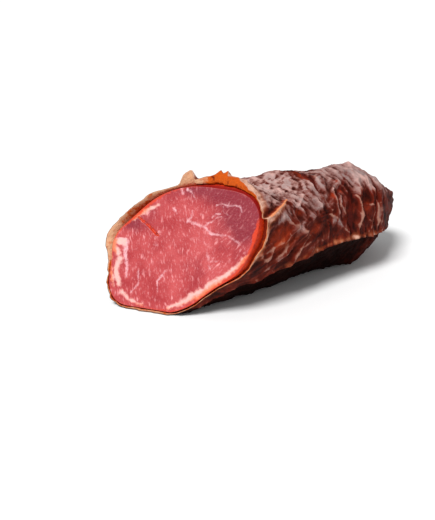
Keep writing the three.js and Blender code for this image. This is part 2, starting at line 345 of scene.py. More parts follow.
def station(run):
    """Place along the axis, and the rounded end's angle, at a distance along the skin."""
    angle = np.clip((run - BODY) / CAP_RUN, 0, 1) * math.pi / 2
    along = np.where(run < BODY, run, BODY + CAP_DEPTH * np.sin(angle))
    return along, angle


def skin(turn, along, angle, height, floor):
    """Points of the loin's skin, pushed out by height and never lower than floor."""
    y, z = np.moveaxis(outline(turn), -1, 0)
    z = z - AXIS_Z
    reach = np.hypot(y, z)
    share = along / LENGTH
    scale = 1 + (END_SCALE - 1) * share
    closing = np.maximum(np.cos(angle), 0) ** CAP_POWER
    radius = (reach * scale + patches(turn, along, LUMPS)) * closing + height * np.cos(angle)
    y = radius * y / reach
    z = np.maximum(AXIS_Z * scale + CAP_LIFT * (1 - closing) + radius * z / reach, floor)
    cut = -CUT_BIAS * y + CUT_LEAN * (z - AXIS_Z)
    x = CUT_X + along + height * np.sin(angle) + (1 - share) * cut
    return np.stack([x, y, z], -1)


def to_segment(turn, along, a, b):
    """Distance to a segment, which side of it, and the share of the way along it."""
    px, py = turn_between(turn, a[0]) * MM_PER_DEGREE, along - a[1]
    dx, dy = turn_between(b[0], a[0]) * MM_PER_DEGREE, b[1] - a[1]
    t = np.clip((px * dx + py * dy) / (dx * dx + dy * dy), 0, 1)
    return np.hypot(px - t * dx, py - t * dy), px * dy - py * dx, t


def to_path(turn, along, path):
    """Distance along the skin to the nearest part of a path."""
    return np.minimum.reduce([to_segment(turn, along, a, b)[0] for a, b in zip(path, path[1:])])


def beside_path(turn, along, path):
    """Distance to a path, positive on the side of greater turns."""
    found = [to_segment(turn, along, a, b) for a, b in zip(path, path[1:])]
    away = np.stack([distance for distance, _, _ in found])
    side = np.stack([side for _, side, _ in found])
    nearest = np.argmin(away, 0)[None]
    return (np.take_along_axis(away, nearest, 0) * np.sign(np.take_along_axis(side, nearest, 0)))[0]


def ledge_relief(turn, along):
    """The long fold of the near side: a slope above its line, and a steep drop below."""
    below = beside_path(turn, along, LEDGE)
    shape = np.where(below > 0, bell(below, LEDGE_BELOW), np.exp(-np.abs(below) / LEDGE_ABOVE))
    ends = ease(-2, 22, along) * ease(142, 126, along)
    return LEDGE_HEIGHT * shape * ends


def raised_lines(turn, along, lines, power):
    """Folds or creases that follow their paths, sharper at the crest for a lower power."""
    return sum(height * np.exp(-(to_path(turn, along, path) / wide) ** power)
               for path, wide, height in lines)


def tear_relief(turn, along):
    """The lifted side of the tear, highest at its line and by the cut."""
    distance, side, share = to_segment(turn, along, TEAR_FROM, TEAR_TO)
    lap = np.where(side > 0, np.exp(-distance / TEAR_REACH), bell(distance, TEAR_EDGE))
    return TEAR_LIFT * (1 - 0.6 * share) * lap


def waves(turn, along):
    """Shallow unevenness all over."""
    a = np.radians(turn)
    return (0.30 * np.sin(7 * a + 0.21 * along + 1.3) * np.sin(0.31 * along - 3 * a)
            + 0.25 * np.sin(11 * a - 0.33 * along + 0.4)
            + 0.18 * np.sin(17 * a + 0.47 * along + 2.1))


def pucker_relief(turn, angle):
    """The casing gathered at the closed end."""
    a = np.radians(turn)
    gather = np.sin(angle) ** 6 * np.minimum(4 * np.cos(angle), 1)
    return PUCKER_HEIGHT * gather * (np.sin(PUCKERS * a) + 0.4 * np.sin(5 * a))


def wrinkle_shares(turn, along, flat):
    """How much of the skin's wrinkles run round the loin, along it, and in each slant."""
    rising = 1.5 * bell(turn_between(turn, 146), 15) * bell(along - 36, 22)
    falling = (1.5 * bell(turn_between(turn, 186), 24) * ease(64, 44, along)
               + bell(turn_between(turn, 122), 24) * bell(along - 72, 16))
    by_end = 1.5 * ease(72, 95, along)
    by_chance = ease(-0.3, 0.3, smooth_noise(flat / 16, 43))
    rest = np.maximum(1 - rising - falling - by_end, 0)
    shares = np.stack([by_end + rest * by_chance, rest * (1 - by_chance), rising, falling])
    return shares / shares.sum(0)


def drawn_out(pattern, turn, flat, shares, wide, long, seed):
    """A pattern of noise drawn out along the wrinkles: so wide across them and so long, in mm."""
    x, y, z = np.moveaxis(flat, -1, 0)
    u = turn_between(turn, 180) * MM_PER_DEGREE
    zero = 0 * x
    places = [
        (x / wide, y / long, z / long),
        (x / long, y / wide, z / wide),
        ((0.82 * x - 0.57 * u) / wide, (0.57 * x + 0.82 * u) / long, zero),
        ((0.62 * x + 0.78 * u) / wide, (0.78 * x - 0.62 * u) / long, zero),
    ]
    return sum(share * pattern(warped(np.stack(place, -1), 0.45, seed + 10 * k), seed + 10 * k + 5)
               for k, (place, share) in enumerate(zip(places, shares)))


def crumpled_zone(turn, along):
    """Where the skin is crumpled evenly all ways: on top by the cut."""
    return bell(turn_between(turn, 108), 28) * ease(62, 42, along)


def crumple_relief(turn, along, flat, shares):
    """The dried skin's shrivelled surface."""
    facets = cell_edges(warped(flat / 11, 0.35, 3), 5)
    tissue = ridged(warped(flat / 3.6, 0.6, 11), 7)
    fine = ridged(warped(flat / 1.8, 0.6, 51), 53)
    wrinkles = drawn_out(ridged, turn, flat, shares, 3.4, 13, 23)
    small = drawn_out(ridged, turn, flat, shares, 1.7, 7, 83)
    crumpled = crumpled_zone(turn, along)
    smooth_end = 1 - 0.4 * ease(112, 135, along)
    return ((1 - 0.5 * crumpled) * (0.75 * wrinkles * smooth_end + 0.3 * small)
            + (0.2 + 0.55 * crumpled) * tissue + (0.1 + 0.3 * crumpled) * fine
            + 0.3 * facets - 0.45)


def film_strokes(turn, along, flat, shares):
    """Noise about 0 for how the bloom lies on the skin: brushed out along the wrinkles."""
    broad = drawn_out(smooth_noise, turn, flat, shares, 1.9, 8, 131)
    narrow = drawn_out(smooth_noise, turn, flat, shares, 0.9, 5, 181)
    patchy = smooth_noise(warped(flat / 1.9, 0.6, 61), 67)
    crumpled = crumpled_zone(turn, along)
    return (1 - 0.6 * crumpled) * (0.65 * broad + 0.5 * narrow) + 0.75 * crumpled * patchy


# ---- the casing's cut edge


def rim(turn):
    """How far the casing's edge is set back from the cut, and lifted off the meat."""
    back = RIM_BACK + 0 * turn
    lift = RIM_LIFT + 0 * turn
    for t, wide, b, h in RIM:
        share = bell(turn_between(turn, t), wide)
        back = back + b * share
        lift = lift + h * share
    a = np.radians(turn)
    ragged = 0.25 * np.sin(23 * a + 1) + 0.2 * np.sin(37 * a + 2) + 0.12 * np.sin(71 * a)
    ragged = ragged * (1 - 0.7 * bell(turn_between(turn, 175), 22))
    return back - 0.5 * standing(turn) + ragged, lift * (1 + 0.3 * ragged)


def standing(turn):
    """The torn tab that stands up from the edge, higher at its near corner."""
    from_middle = turn_between(turn, TAB_TURN) / TAB_WIDE
    return np.exp(-from_middle**4) * (1 + 0.22 * np.clip(from_middle, -1, 1))


def at_rim(turn, along, reach):
    """Places near the casing's edge moved back, and their lift, which fades over a reach."""
    back, lift = rim(turn)
    near = np.maximum(1 - along / RIM_REACH, 0)
    fade = np.exp(-along / reach) * np.maximum(1 - along / 30, 0)
    tab = TAB_LIFT * standing(turn) * bell(along, TAB_FADE)
    return along + back * near**2, lift * fade + tab


def bevel(turn, along):
    """The cut's upper edge is rounded off under the collar's peak."""
    return BEVEL * bell(turn_between(turn, BEVEL_TURN), BEVEL_WIDE) * bell(along, 4)


# ---- meshes


def closed(rows):
    """Rows of point numbers round the loin, with the first column again at the end."""
    return np.concatenate([rows, rows[:, :1]], 1)


def quads(grid):
    """Faces between the points of a grid, which is given as rows of point numbers."""
    return np.stack([grid[:-1, :-1], grid[:-1, 1:], grid[1:, 1:], grid[1:, :-1]], -1).reshape(-1, 4)


def corners_of(places):
    """Places on the texture of the corners of a grid's quads, from those of its points."""
    numbers = np.arange(places[..., 0].size).reshape(places.shape[:2])
    return places.reshape(-1, 2)[quads(numbers)]


def texture_grid(heights, columns):
    """Places on the texture of rows at these heights, with columns all the way across it."""
    return np.stack(np.meshgrid(np.arange(columns + 1) / columns, heights), -1)


def fan_corners(columns, before, at):
    """Places on the texture of the corners of a fan's triangles: two on the rim, then the tip."""
    j = np.arange(columns)
    rim_here, rim_next, tip = j / columns, (j + 1) / columns, (j + 0.5) / columns
    low, high = np.full(columns, before), np.full(columns, at)
    return np.stack([rim_here, low, rim_next, low, tip, high], -1).reshape(-1, 3, 2)


def put(name, data):
    """A new object in the scene, with this data."""
    piece = bpy.data.objects.new(name, data)
    bpy.context.scene.collection.objects.link(piece)
    return piece


def new_mesh(name, points, faces, marks, corners):
    """A smooth piece: points in mm, numbers that paint them, and faces' corners on the texture."""
    mesh = bpy.data.meshes.new(name)
    mesh.from_pydata((points * MM).tolist(), [], faces)
    for mark, values in marks.items():
        kind, field = ("FLOAT", "value") if values.ndim == 1 else ("FLOAT_VECTOR", "vector")
        data = mesh.attributes.new(mark, kind, "POINT").data
        data.foreach_set(field, values.astype(np.float32).ravel())
    flat_corners = np.concatenate([part.ravel() for part in corners])
    mesh.uv_layers.new(name="OFBake").data.foreach_set("uv", flat_corners.astype(np.float32))
    mesh.shade_smooth()
    mesh.update()
    return put(name, mesh)


COLUMNS = 340
CLOSE_TURN = 135
CLOSER = 0.45
# Rows lie at distances along the skin, as (first, last, how many), and closest by the cut.
OUTER_ROWS = (0, 12, 22), (12, 112, 186), (112, RUN, 42)
INNER_ROWS = (RUN, 14, 27), (14, 2, 10), (2, 0, 8)
# heights on the texture: the inside's first and last rows, then the outside's
TEXTURE_HEIGHTS = (0.99, 0.9, 0.89, 0.01)


def column_turns():
    """Turns of the casing's columns, closest together on the upper near side."""
    even = np.arange(COLUMNS) * 360 / COLUMNS
    return (even - np.degrees(CLOSER * np.sin(np.radians(even - CLOSE_TURN)))) % 360


OTHER_WAY = [0, 3, 2, 1]  # the corners of a quad that faces the other way


def spaced(parts):
    """Numbers from (first, last, how many) parts that follow on, with each shared end once."""
    runs = [np.linspace(*part) for part in parts]
    return np.concatenate([run[:-1] for run in runs[:-1]] + runs[-1:])


def casing_outside():
    """The casing's outer surface, row by row from the cut: its points, and what paints it."""
    turn, run = np.meshgrid(column_turns(), spaced(OUTER_ROWS))
    from_edge, angle = station(run)
    along, lift = at_rim(turn, from_edge, RIM_FADE)
    body = np.maximum(np.cos(angle), 0) ** 0.5
    flat = skin(turn, along, angle, 0.0, NO_FLOOR)
    shares = wrinkle_shares(turn, along, flat)
    creases = raised_lines(turn, along, CREASES, CREASE_POWER)
    folds = raised_lines(turn, along, FOLDS, FOLD_POWER)
    crest = (creases + crumple_relief(turn, along, flat, shares)) * body
    relief = (folds + waves(turn, along) + ledge_relief(turn, along)) * body
    relief = np.maximum(relief + crest + pucker_relief(turn, angle), DEEPEST_CREASE)
    relief = relief * (1 - 0.8 * bell(from_edge, 2.0)) + tear_relief(turn, along)
    sunk = RIM_SINKS * bell(from_edge, RIM_THIN_REACH)
    points = skin(turn, along, angle, lift + relief - sunk, 0.0)
    return points, {
        "crest": crest,
        "strokes": film_strokes(turn, along, flat, shares),
        "mould": mould_zone(turn, along, flat),
        "pale": pale_zone(turn, along),
        "glow": glow_zone(turn, along) * ease(0, 4, from_edge),
        "painted_shade": underside_painted_shade(turn, along),
        "tan": tan_zone(turn, along, from_edge, flat),
    }


def casing_inside():
    """The casing's inner surface, row by row to the cut: its points, and how warm its colour is, which
    also carries painted shade in the gap below the tear and round the underside.
    """
    turn, run = np.meshgrid(column_turns(), spaced(INNER_ROWS))
    from_edge, angle = station(run)
    along, lift = at_rim(turn, from_edge, INNER_FADE)
    depth = CASING_THICKNESS + (INNER_INSET - CASING_THICKNESS) * ease(1, 4, along)
    depth = depth + bevel(turn, along) * ease(0.3, 2, along)
    depth = depth - RIM_RISES * bell(from_edge, RIM_THIN_REACH)
    raised = tear_relief(turn, along) * bell(from_edge, 2.5)
    points = skin(turn, along, angle, lift + raised - depth, CASING_THICKNESS)
    far_collar = (0.2 + 0.2 * ease(0.3, 3, along)) * bell(turn_between(turn, 36), 20)
    near_collar = ease(82, 94, turn) * ease(150, 125, turn)
    # painted shade: in from its edge, the inside below the tear and round the underside turns deep
    # red-brown, for the shaded gap between casing and meat
    shade_below_tear = ease(146, 152, turn) * ease(345, 325, turn) * (0.45 + 1.9 * ease(0, 0.3, from_edge))
    return points, 0.2 + far_collar + near_collar + shade_below_tear - 0.2 * standing(turn)


def mould_zone(turn, along, flat):
    """Where the grey bloom lies: over the top, in patches below, and in a film under the tear."""
    base = 0.68 * ease(0.2, 1.0, np.sin(np.radians(turn)))
    drift = 0.3 * smooth_noise(flat / 17, 73) * ease(150, 110, turn)
    distance, side, _ = to_segment(turn, along, TEAR_FROM, TEAR_TO)
    film = 0.5 * (side > 0) * bell(distance - 7, 3.5)
    return base + drift + film + patches(turn, along, BLOOM)


def pale_zone(turn, along):
    """How pale the bloom is: palest on top by the cut, greyer along the loin and down its side."""
    return 0.25 * ease(150, 115, turn) + 0.7 * crumpled_zone(turn, along)


def glow_zone(turn, along):
    """Where the skin is thin and clear, and the meat's red shows through it; and a painted highlight
    in a band along the crest of the near side's fold.
    """
    tear = to_segment(turn, along, TEAR_FROM, TEAR_TO)[0]
    # painted highlight: a band along the crest of the near side's fold
    crest = bell(beside_path(turn, along, LEDGE) + 1.0, 1.6) * ease(10, 30, along)
    return patches(turn, along, CLEAR) + bell(tear, 0.9) + 0.4 * crest


def underside_painted_shade(turn, along):
    """Painted shade on the underside, from the near side's fold to the far side: less so at the closed
    end.
    """
    below = beside_path(turn, along, LEDGE)
    by_cut = bell(along - 2, 16)
    by_end = 0.55 * ease(70, 135, along)
    far_side = ease(78, 40, turn_between(turn, 270))
    return ease(0.2, 2.2, below - 8 * by_cut) * far_side * (1 - by_end)


def tan_zone(turn, along, from_edge, flat):
    """Where the skin stands off the meat and light comes through it: pale tan; and painted highlights,
    broken, along the crest of the near side's fold.
    """
    lip_back = np.interp(turn, *LIP)
    lip = 0.9 * ease(lip_back + 4, lip_back - 4, along)
    edge = 0.12 * bell(from_edge, 0.8)
    tear, side, share = to_segment(turn, along, TEAR_FROM, TEAR_TO)
    line = 1.1 * bell(tear, 0.5 - 0.25 * share) * (1 - 0.45 * share)
    under_tear = 0.8 * (side > 0) * bell(tear, 5.6 - 4.8 * share)
    flap = 0.8 * bell(from_edge, 3.4) * ease(147, 153, turn) * ease(200, 184, turn)
    flap = np.minimum(flap + under_tear, 0.75)
    corner = 0.3 * bell(turn_between(turn, 185), 4) * bell(along - 8, 5)
    broken = 0.2 + 0.35 * smooth_noise(flat / 11, 91)
    # painted highlight: broken pale tan along the crest of the near side's fold
    crest = broken * bell(beside_path(turn, along, LEDGE) + 1.3, 2.2) * ease(10, 30, along)
    tab = standing(turn) * bell(from_edge, 5)
    found = lip + edge + line + flap + corner + crest + tab
    return np.clip(found + patches(turn, along, FOLD_CREST_HIGHLIGHTS), 0, 1)


def casing_corners(inner_rows, rows):
    """Places on the texture of the corners of the casing's faces: the rows', then both tips'."""
    bends = (0, inner_rows - 2, inner_rows - 1, rows - 1)
    heights = np.interp(np.arange(rows), bends, TEXTURE_HEIGHTS)
    inner_tip = fan_corners(COLUMNS, heights[0], 1.0)
    outer_tip = fan_corners(COLUMNS, heights[-1], 0.0)[:, [1, 0, 2]]
    sides = corners_of(texture_grid(heights, COLUMNS))[:, OTHER_WAY]
    return [sides, inner_tip, outer_tip]


def make_casing():
    """A closed skin: its rows run along the inside to the cut, and back along the outside."""
    outer, paints = casing_outside()
    inner, warmth_and_shade = casing_inside()
    points = np.concatenate([inner[1:], outer[:-1]]).reshape(-1, 3)
    rows = len(inner) + len(outer) - 2
    numbers = np.arange(rows * COLUMNS).reshape(rows, COLUMNS)
    faces = quads(closed(numbers))[:, OTHER_WAY].tolist()
    first, last = len(points), len(points) + 1
    points = np.concatenate([points, inner[:1, 0], outer[-1:, 0]])
    top = (rows - 1) * COLUMNS
    faces += [(j, (j + 1) % COLUMNS, first) for j in range(COLUMNS)]
    faces += [(top + (j + 1) % COLUMNS, top + j, last) for j in range(COLUMNS)]

    def mark(inside, outside, ends):
        return np.concatenate([inside[1:].ravel(), outside[:-1].ravel(), ends])

    inside = np.ones(inner.shape[:2])
    nowhere = np.zeros(outer.shape[:2])
    marks = {name: mark(0 * inside, values, [0, 0]) for name, values in paints.items()}
    marks["inside"] = mark(inside, nowhere, [1, 0])
    marks["warmth_and_shade"] = mark(warmth_and_shade, nowhere, [0, 0])
    return new_mesh("casing_skin", points, faces, marks, casing_corners(len(inner), rows))


# ---- the meat
FACE_SIDE = 230  # quads along each side of the square that is laid over the cut face
FACE_SHARE = 0.78  # of the texture's height, with the side above it
FACE_MIDDLE = np.array([CUT_X, 0, AXIS_Z])
CUT_NORMAL = np.array([-1, -CUT_BIAS, CUT_LEAN]) / math.hypot(1, CUT_BIAS, CUT_LEAN)
MEAT_FLOOR = MEAT_INSET + 0.3
MEAT_ROWS = (0, 8, 13), (8, RUN, 22)
# the meat has shrunk from the collar by so much at this turn, and lies so much deeper further in
SHRINK = 3.2
SHRINK_TURN = 32
SHRINK_WIDE = 24
SUNK = 0.6


def on_cut(y, z):
    """The point of the cut plane at y, z."""
    return np.stack([CUT_X - CUT_BIAS * y + CUT_LEAN * (z - AXIS_Z), y, z], -1)


def face_relief(turn, ring):
    """The cut face's gentle swell, which ends at its edge."""
    a = np.radians(turn)
    return (0.5 + 0.6 * ring * np.sin(2 * a + 0.6) + 0.4 * ring * np.sin(5 * a)) * (1 - ring**2)


def band(points, path, start, end):
    """How far inside a band along a path of the cut face each point is, in mm."""
    corners = on_cut(*np.array(path, float).T)
    pieces = len(path) - 1
    inside = []
    for i, (a, b) in enumerate(zip(corners, corners[1:])):
        t = np.clip((points - a) @ (b - a) / ((b - a) @ (b - a)), 0, 1)
        away = np.linalg.norm(points - a - t[..., None] * (b - a), axis=-1)
        inside.append(start + (end - start) * (i + t) / pieces - away)
    return np.maximum.reduce(inside)


def grain(a, b, lean, depth):
    """Coordinates across and along fibres that lean so many degrees from upright."""
    t = math.radians(lean)
    return np.stack([a * math.cos(t) - b * math.sin(t), a * math.sin(t) + b * math.cos(t), depth], -1)


def purple_zone(a, b):
    """Where the lean is darker, a to the right of the face's middle and b above it."""
    return sum(amount * bell(a - x, wide) * bell(b - y, high) for x, y, wide, high, amount in PURPLE)


def bands(points, places):
    """How far inside the nearest of several bands each point is."""
    return np.maximum.reduce([band(points, path, start, end) for path, start, end in places])


def meat_height(turn, along):
    """The meat's height against the loin's skin: it has shrunk on one side, and is sunk inside."""
    shrink = SHRINK * bell(turn_between(turn, SHRINK_TURN), SHRINK_WIDE) * bell(along, 12)
    return -MEAT_INSET - shrink - bevel(turn, along) - SUNK * ease(6, 16, along)


def square_over_disc(n):
    """A square grid of points laid over a disc: the turn of each, and its share of the radius."""
    u, v = np.meshgrid(np.linspace(-1, 1, n + 1), np.linspace(-1, 1, n + 1), indexing="ij")
    across, up = u * np.sqrt(1 - v * v / 2), v * np.sqrt(1 - u * u / 2)
    return np.degrees(np.arctan2(up, across)) % 360, np.minimum(np.hypot(across, up), 1)


def square_border(n):
    """Numbers of the points round the border of a square grid, in order."""
    steps = np.arange(n)
    return np.concatenate([steps * (n + 1), n * (n + 1) + steps, (n - steps) * (n + 1) + n, n - steps])


def meat_face(turn, ring):
    """Points of the cut face, with its crack, and how far inside its edge they are."""
    zero = np.zeros_like(turn)
    edge = skin(turn, zero, zero, meat_height(turn, zero), MEAT_FLOOR)
    face = FACE_MIDDLE + ring[..., None] * (edge - FACE_MIDDLE)
    crack = band(face, CRACK, CRACK_START, CRACK_END)
    raised = face_relief(turn, ring) - CRACK_DEEP * ease(-0.6, 0.6, crack)
    face = face + raised[..., None] * CUT_NORMAL
    return face, np.linalg.norm(face - edge, axis=-1)


def meat_side(around):
    """Rows of points from the cut face's edge to the closed end, and their turns and places."""
    turn, run = np.meshgrid(around, spaced(MEAT_ROWS)[1:])
    along, angle = station(run)
    return skin(turn, along, angle, meat_height(turn, along), MEAT_FLOOR), turn, along


def meat_faces(border, rows):
    """Faces of the square on the cut, then of the rows that start at its border, then the tip's."""
    n = FACE_SIDE + 1
    square = quads(np.arange(n * n).reshape(n, n))
    further = n * n + np.arange(len(border) * (rows - 1)).reshape(-1, len(border))
    rings = np.concatenate([border[None], further])
    last = rings[-1].tolist()
    fan = [(here, there, last[-1] + 1) for here, there in zip(last, last[1:] + last[:1])]
    return square.tolist() + quads(closed(rings)).tolist() + fan


def meat_corners(columns, rows):
    """Places on the texture of the corners of the meat's faces, in the order of meat_faces."""
    face_heights = np.linspace(0, FACE_SHARE, FACE_SIDE + 1)
    on_face = corners_of(texture_grid(face_heights, FACE_SIDE).swapaxes(0, 1))
    heights = np.linspace(FACE_SHARE + 0.01, TEXTURE_HEIGHTS[0], rows)
    on_side = corners_of(texture_grid(heights, columns))
    return [on_face, on_side, fan_corners(columns, heights[-1], 1.0)]


def meat_marks(points, turn, depth, inward):
    """The numbers that paint the meat, for each of its points."""
    right = np.array([-CUT_NORMAL[1], CUT_NORMAL[0], 0])
    right = right / np.linalg.norm(right)
    up = np.cross(CUT_NORMAL, right)
    from_middle = points - FACE_MIDDLE
    a, b = from_middle @ right, from_middle @ up
    # painted shade: the lean darkens along the face's top edge under the collar, together with the
    # edge's own darker red
    shade_under_collar = np.exp(-np.abs(inward) / 1.8) * ease(75, 90, turn) * ease(172, 160, turn)
    return {
        "inward": inward,
        "vein": bands(points, VEINS),
        "fat": bands(points, FAT),
        "crack": band(points, CRACK, CRACK_START, CRACK_END),
        "left_grain": grain(a, b, -12, depth),
        "right_grain": grain(a, b, 30, depth),
        "right_share": ease(8, 26, a),
        "purple_and_shade": purple_zone(a, b) + 0.9 * shade_under_collar,
        "spice": np.interp(turn, *SPICE),
    }


def make_meat():
    """The loin's meat, closed all round, with finer faces on the cut."""
    turn, ring = square_over_disc(FACE_SIDE)
    face, within = meat_face(turn, ring)
    border = square_border(FACE_SIDE)
    side, side_turn, along = meat_side(turn.ravel()[border])
    points = np.concatenate([face.reshape(-1, 3), side[:-1].reshape(-1, 3), side[-1:, 0]])
    turns = np.concatenate([turn.ravel(), side_turn[:-1].ravel(), [0]])
    behind = along[:-1].ravel()
    depth = np.concatenate([np.zeros(turn.size), behind, [LENGTH]])
    inward = np.concatenate([within.ravel(), -behind, [-LENGTH]])
    marks = meat_marks(points, turns, depth, inward)
    corners = meat_corners(len(border), len(side))
    return new_mesh("meat_body", points, meat_faces(border, len(side)), marks, corners)


# ---- stage, in metres
FLOOR_REACH = 6.0
FLOOR_WHITE = (0.86, 0.86, 0.86, 1)
FLOOR_ROUGHNESS = 0.8
ROOM_WHITE = (1, 1, 1, 1)
ROOM_STRENGTH = 0.42
SUN_STRENGTH = 3.3
SUN_SPREAD = math.radians(22)
SUN_FROM = Vector((-0.5, -0.18, 0.85))
CAMERA_TURN = math.radians(-36)
CAMERA_RISE = math.radians(24)
CAMERA_AWAY = 0.468
CAMERA_TARGET = Vector((-0.03244, 0, 0.02043))
SENSOR_WIDTH = 36
LENS = 59.05


def make_stage():
    mesh = bpy.data.meshes.new("floor")
    far = FLOOR_REACH
    corners = [(-far, -far, 0), (far, -far, 0), (far, far, 0), (-far, far, 0)]
    mesh.from_pydata(corners, [], [(0, 1, 2, 3)])
    mesh.materials.append(Paint("floor_paint", 0.5).finish(FLOOR_WHITE, FLOOR_ROUGHNESS))
    floor = put("floor", mesh)


def turn_back(piece, back):
    """Turns a light or camera with its back towards a direction."""
    piece.rotation_mode = "QUATERNION"
    piece.rotation_quaternion = back.to_track_quat("Z", "Y")


def make_light():
    """A soft sun from the upper left, in a white room."""
    world = bpy.data.worlds.new("room")
    bpy.context.scene.world = world
    world.use_nodes = True
    room = world.node_tree.nodes["Background"]
    room.inputs["Color"].default_value = ROOM_WHITE
    room.inputs["Strength"].default_value = ROOM_STRENGTH
    sun = bpy.data.lights.new("key", "SUN")
    sun.energy = SUN_STRENGTH
    sun.angle = SUN_SPREAD
    turn_back(put("key", sun), SUN_FROM)


def make_camera():
    flat = math.cos(CAMERA_RISE)
    back = Vector((math.sin(CAMERA_TURN) * flat, -math.cos(CAMERA_TURN) * flat, math.sin(CAMERA_RISE)))
    data = bpy.data.cameras.new("camera")
    data.sensor_width = SENSOR_WIDTH
    data.lens = LENS
    data.clip_start = 0.01
    camera = put("camera", data)
    camera.location = CAMERA_TARGET + back * CAMERA_AWAY
    turn_back(camera, back)
    bpy.context.scene.camera = camera


# ---- materials


def tone(*screen):
    """A colour given as red, green and blue in the 0 to 255 values of a screen."""
    shares = [c / 255 for c in screen]
    return *(c / 12.92 if c < 0.04045 else ((c + 0.055) / 1.055) ** 2.4 for c in shares), 1.0


MIX_A, MIX_B, MIX_OUT = 6, 7, 2  # a mix node's sockets for colours


class Paint:
    """A material's node tree. Each method adds a node and gives back its output."""

    def __init__(self, name, specular):
        self.material = bpy.data.materials.new(name)
        self.material.use_nodes = True
        self.tree = self.material.node_tree
        self.shader = self.tree.nodes["Principled BSDF"]
        self.surface("Specular IOR Level", specular)

    def set(self, socket, value):
        """Puts a number, a colour or another node's output into an input."""
        if isinstance(value, bpy.types.NodeSocket):
            self.tree.links.new(value, socket)
        else:
            socket.default_value = value

    def node(self, kind, inputs, **settings):
        """The outputs of a new node with these settings and inputs."""
        node = self.tree.nodes.new("ShaderNode" + kind)
        for name, value in settings.items():
            setattr(node, name, value)
        for name, value in inputs.items():
            self.set(node.inputs[name], value)
        return node.outputs

    def mark(self, name, output="Fac"):
        """The mesh's own number, or vector, of this name."""
        return self.node("Attribute", {}, attribute_name=name)[output]

    def place(self):
        """The place in metres."""
        return self.node("TexCoord", {})["Object"]

    def math(self, kind, a, b):
        return self.node("Math", {0: a, 1: b}, operation=kind)[0]

    def add(self, a, b):
        return self.math("ADD", a, b)

    def times(self, a, b):
        return self.math("MULTIPLY", a, b)

    def total(self, *terms):
        """The sum of terms, each a number or (number, factor)."""
        parts = [self.times(*term) if isinstance(term, tuple) else term for term in terms]
        return functools.reduce(self.add, parts)

    def stretch(self, vector, factors):
        return self.node("VectorMath", {0: vector, 1: factors}, operation="MULTIPLY")[0]

    def noise(self, vector, size, detail=2.0, roughness=0.5):
        """Noise from -1 to 1, mostly within half of that, with features about size apart."""
        inputs = {"Vector": vector, "Scale": 1 / size, "Detail": detail, "Roughness": roughness}
        return self.total((self.node("TexNoise", inputs)["Fac"], 2.0), -1.0)

    def ramp(self, value, low, high, start=0.0, end=1.0):
        """Smoothly from start at low to end at high."""
        inputs = {"Value": value, "From Min": low, "From Max": high, "To Min": start, "To Max": end}
        return self.node("MapRange", inputs, interpolation_type="SMOOTHSTEP")["Result"]

    def mix(self, share, a, b):
        """Colour a, turning into colour b as share goes from 0 to 1."""
        return self.node("Mix", {"Factor": share, MIX_A: a, MIX_B: b}, data_type="RGBA")[MIX_OUT]

    def surface(self, name, value):
        """Sets one of the surface's own inputs."""
        self.set(self.shader.inputs[name], value)

    def bump(self, height, distance):
        """Lets light fall as if the surface rose by height, in units of distance."""
        self.surface("Normal", self.node("Bump", {"Height": height, "Distance": distance})[0])

    def finish(self, colour, roughness):
        """The material, with this colour and roughness."""
        self.surface("Base Color", colour)
        self.surface("Roughness", roughness)
        return self.material


LEAN = tone(162, 38, 44)
LEAN_PALE = tone(190, 76, 78)
# purple lean, also used as painted shade under the collar
LEAN_PURPLE_AND_SHADE = tone(130, 27, 44)
FLECK = tone(226, 146, 148)
VEIN = tone(230, 176, 182)
FAT_PALE = tone(238, 180, 172)
FAT_WARM = tone(226, 122, 84)
PAPRIKA = tone(206, 54, 8)
PAPRIKA_DEEP = tone(172, 36, 12)
CRIMSON = tone(138, 16, 14)


def fleck_strokes(paint, grain):
    """Short pale strokes that follow the fibres: small ones, and fewer large ones."""
    def strokes(across, along, low):
        pattern = paint.stretch(grain, (1 / across, 1 / along, 1 / 9))
        return paint.ramp(paint.noise(pattern, 1.0, 1.5, 0.6), low, 0.5)

    small, large = strokes(0.85, 2.6, 0.05), strokes(1.8, 4.6, 0.14)
    return paint.math("MAXIMUM", paint.times(small, 0.55), paint.times(large, 0.9))


def lean_colour(paint, cloudy, fine, flecks):
    """Lean meat in several reds, with pale flecks that are fewer where it is purple, and painted shade
    in the same purple along the face's top edge, under the collar.
    """
    colour = paint.mix(paint.ramp(cloudy, -0.4, 0.5), LEAN, LEAN_PALE)
    colour = paint.mix(paint.ramp(fine, -0.5, 0.6, 0.0, 0.35), colour, LEAN_PALE)
    purple_and_shade = paint.total(paint.mark("purple_and_shade"), (cloudy, -0.5))
    colour = paint.mix(paint.ramp(purple_and_shade, 0.0, 0.9, 0.0, 0.9), colour, LEAN_PURPLE_AND_SHADE)
    few = paint.ramp(purple_and_shade, 0.0, 0.9, 1.0, 0.45)
    return paint.mix(paint.times(flecks, few), colour, FLECK)


def add_marbling(paint, colour, wobble, fine, islands):
    """Broken veins, and larger fat that is warmer near the edge."""
    broken = paint.ramp(paint.noise(paint.place(), 1.6 * MM), -0.35, 0.1, 0.55, 0.9)
    vein = paint.total(paint.mark("vein"), (wobble, 0.9), (fine, 0.4))
    colour = paint.mix(paint.times(paint.ramp(vein, -0.4, 0.9), broken), colour, VEIN)
    within = paint.total(paint.mark("inward"), (wobble, 1.5))
    fat_colour = paint.mix(paint.ramp(within, 1.2, 3.4), FAT_WARM, FAT_PALE)
    fat = paint.total(paint.mark("fat"), (wobble, 1.4), (islands, 1.6))
    return paint.mix(paint.ramp(fat, -0.9, 1.0, 0.0, 0.95), colour, fat_colour)


